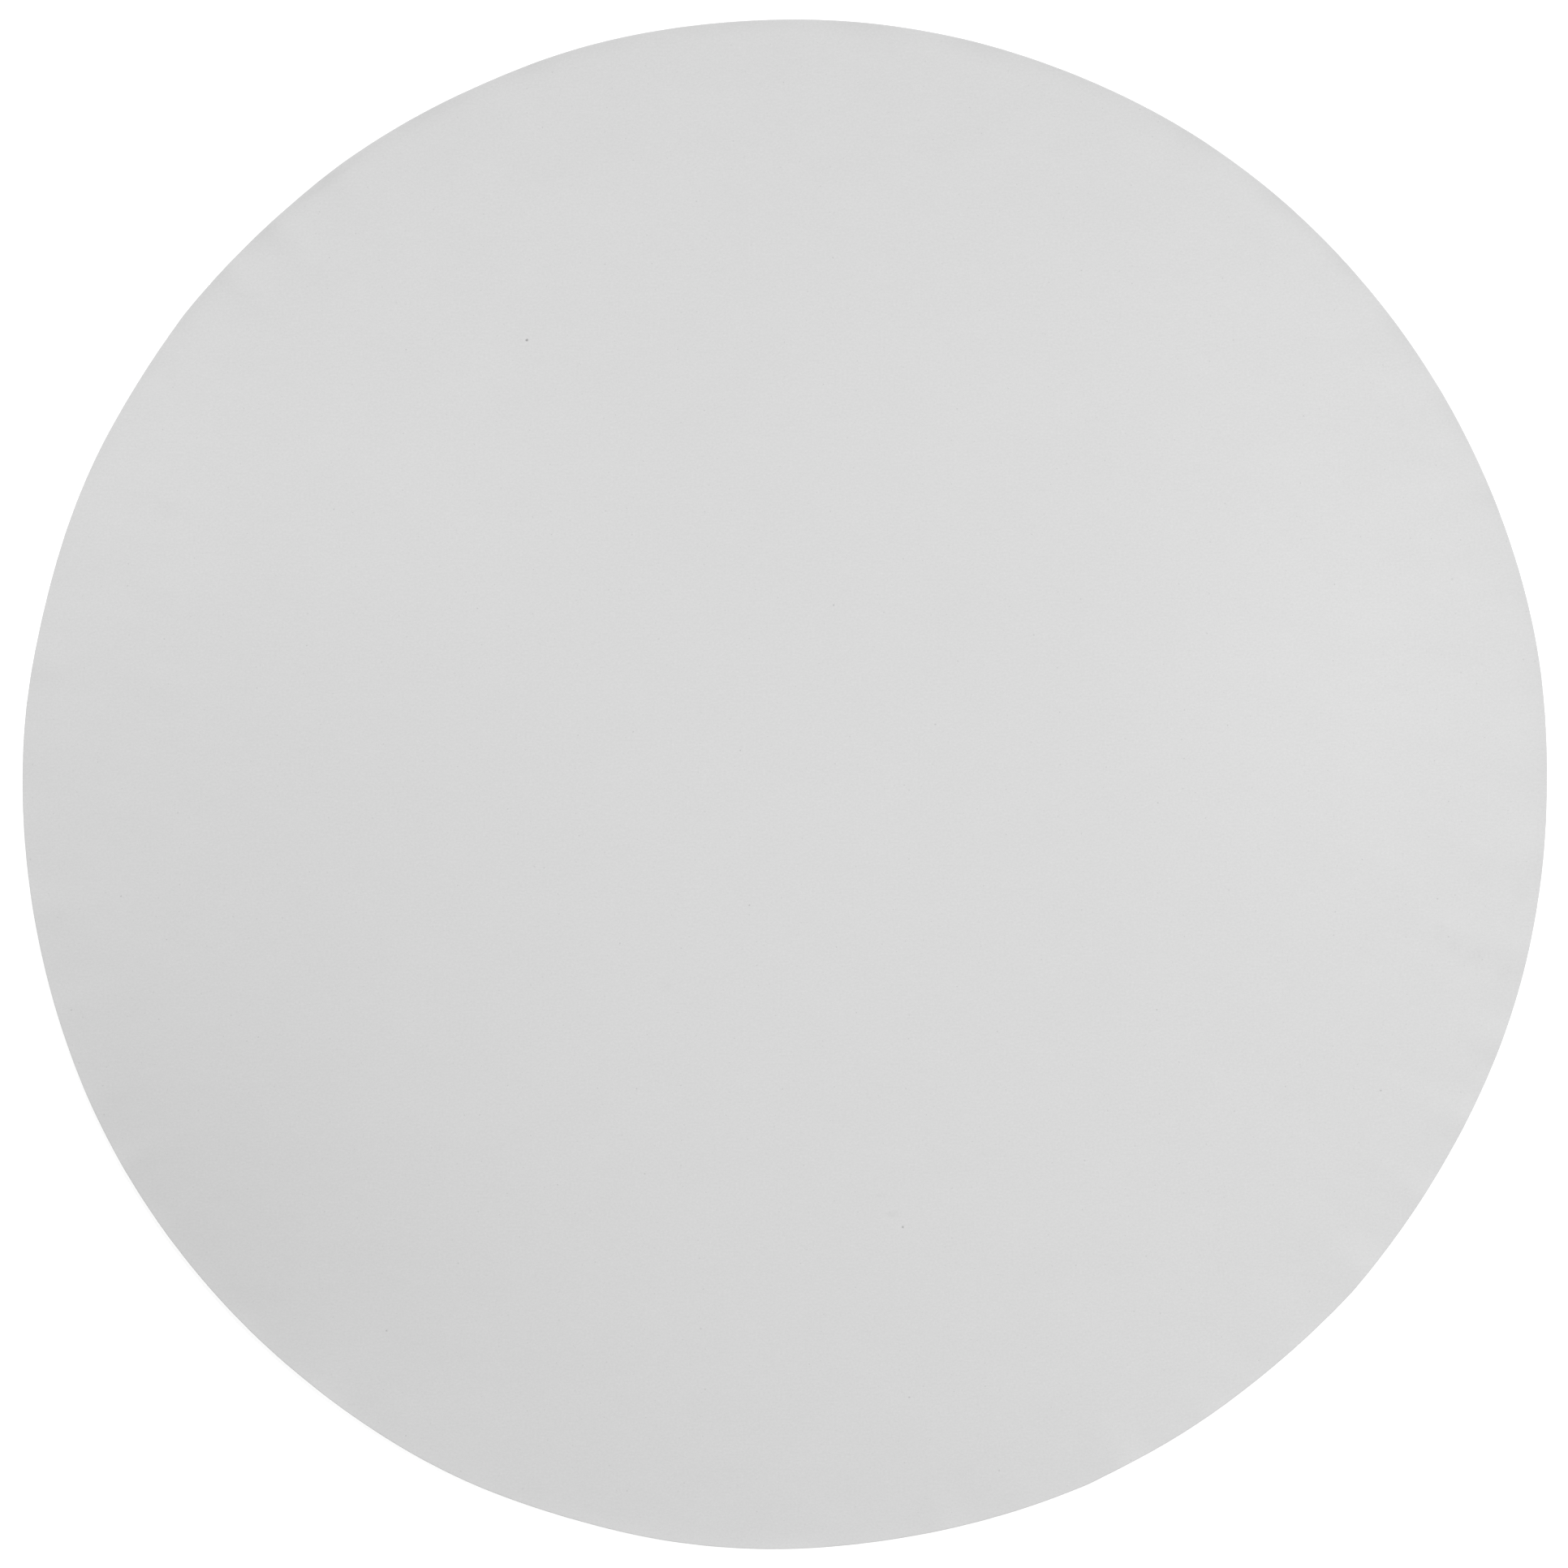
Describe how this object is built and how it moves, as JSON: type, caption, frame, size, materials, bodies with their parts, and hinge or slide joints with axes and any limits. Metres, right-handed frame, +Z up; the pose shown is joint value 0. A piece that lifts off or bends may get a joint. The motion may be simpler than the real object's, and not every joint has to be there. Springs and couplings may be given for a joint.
{
  "type": "circle template",
  "caption": "Plain round disc of pasted board with a hand-sheared rim, laid flat and drawn round to mark a circle.",
  "frame": {"origin": "middle of the back face, at the centre of the circle that the disc was cut to", "axes": "+Z up through the board to the face that shows, +X along the grain of the paper"},
  "size_m": [0.3043, 0.3053, 0.0008],
  "materials": {
    "face_paper": "uncoated, matt, light neutral grey",
    "middle_paper": "uncoated, matt, fibrous at the cut edge",
    "back_paper": "uncoated, matt, light neutral grey"
  },
  "bodies": {
    "root": {"face_ply": "face_paper", "upper_middle_ply": "middle_paper", "lower_middle_ply": "middle_paper", "back_ply": "back_paper"}
  },
  "joints": []
}
